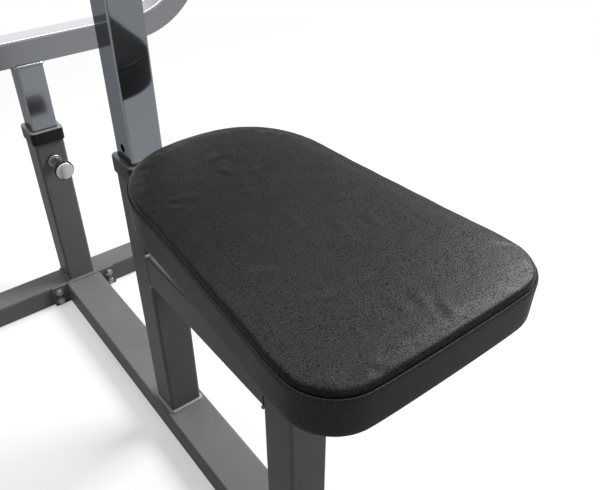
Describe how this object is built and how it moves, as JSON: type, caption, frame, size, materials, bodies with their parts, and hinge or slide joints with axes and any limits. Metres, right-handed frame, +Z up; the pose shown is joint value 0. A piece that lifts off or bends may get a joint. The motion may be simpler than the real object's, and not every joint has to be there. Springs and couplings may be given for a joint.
{
  "type": "preacher bench",
  "caption": "Preacher bench: steel tube frame on two cross feet, fixed tapered seat, sloping arm pad and wide bar rest, both height-adjustable on inner posts locked by pull pins.",
  "frame": {"origin": "on the floor, in the middle plane, midway between the outer faces of the front and rear cross tubes", "axes": "+X to the user's right, +Y from the seat towards the bar rest, +Z up"},
  "size_m": [0.8, 1.152, 1.0341],
  "materials": {
    "painted_steel": "dark grey powder coat, low sheen",
    "polished_steel": "polished, mirror-like",
    "satin_steel": "satin light grey",
    "zinc_steel": "dark zinc",
    "black_plastic": "moulded, fine grain",
    "knob_plastic": "moulded, gloss",
    "knob_metal": "turned, satin",
    "black_leather": "embossed grain, soft sheen",
    "plywood": "raw plywood"
  },
  "bodies": {
    "frame": {"base_beam": "painted_steel", "front_flange": "painted_steel", "rear_flange": "painted_steel", "front_cross_tube": "painted_steel", "rear_cross_tube": "painted_steel", "front_flange_bolt_1": "zinc_steel", "front_flange_bolt_2": "zinc_steel", "front_flange_bolt_3": "zinc_steel", "front_flange_bolt_4": "zinc_steel", "rear_flange_bolt_1": "zinc_steel", "rear_flange_bolt_2": "zinc_steel", "rear_flange_bolt_3": "zinc_steel", "rear_flange_bolt_4": "zinc_steel", "front_left_end_cap": "black_plastic", "front_right_end_cap": "black_plastic", "rear_left_end_cap": "black_plastic", "rear_right_end_cap": "black_plastic", "front_upright": "painted_steel", "middle_upright": "painted_steel", "seat_upright": "painted_steel", "seat_beam": "painted_steel", "middle_sleeve": "black_plastic", "front_sleeve": "black_plastic", "middle_pin_housing": "zinc_steel", "front_pin_housing": "zinc_steel", "seat_plate": "painted_steel", "seat_board": "plywood", "seat_cushion": "black_leather", "seat_bolt_1": "zinc_steel", "seat_bolt_2": "zinc_steel", "seat_bolt_3": "zinc_steel", "seat_bolt_4": "zinc_steel"},
    "arm_pad": {"arm_pad_post": "polished_steel", "arm_post_glide": "black_plastic", "arm_pad_plate": "painted_steel", "arm_pad_front_gusset": "painted_steel", "arm_pad_rear_gusset": "painted_steel", "arm_pad_board": "plywood", "arm_pad_cushion": "black_leather", "arm_pad_bolt_1": "zinc_steel", "arm_pad_bolt_2": "zinc_steel", "arm_pad_bolt_3": "zinc_steel", "arm_pad_bolt_4": "zinc_steel"},
    "bar_rest": {"bar_rest_post": "polished_steel", "bar_post_glide": "black_plastic", "bar_rest_yoke": "satin_steel", "left_arm_cap": "black_plastic", "right_arm_cap": "black_plastic", "left_bar_hook": "painted_steel", "right_bar_hook": "painted_steel", "left_hook_liner": "black_plastic", "right_hook_liner": "black_plastic"},
    "middle_pin": {"middle_pull_pin": "zinc_steel", "middle_pin_knob": "knob_plastic", "middle_knob_cap": "knob_metal"},
    "front_pin": {"front_pull_pin": "zinc_steel", "front_pin_knob": "knob_plastic", "front_knob_cap": "knob_metal"}
  },
  "joints": [
    {"name": "arm_pad_height", "type": "slide", "parent": "frame", "child": "arm_pad", "axis": [0, 0, 1], "range_m": [-0.075, 0.075]},
    {"name": "bar_rest_height", "type": "slide", "parent": "frame", "child": "bar_rest", "axis": [0, 0, 1], "range_m": [-0.05, 0.1]},
    {"name": "middle_pin_pull", "type": "slide", "parent": "frame", "child": "middle_pin", "axis": [1, 0, 0], "range_m": [0, 0.01], "stiffness_N_per_m": 900, "springref_m": -0.01},
    {"name": "front_pin_pull", "type": "slide", "parent": "frame", "child": "front_pin", "axis": [0, -1, 0], "range_m": [0, 0.01], "stiffness_N_per_m": 900, "springref_m": -0.01}
  ]
}
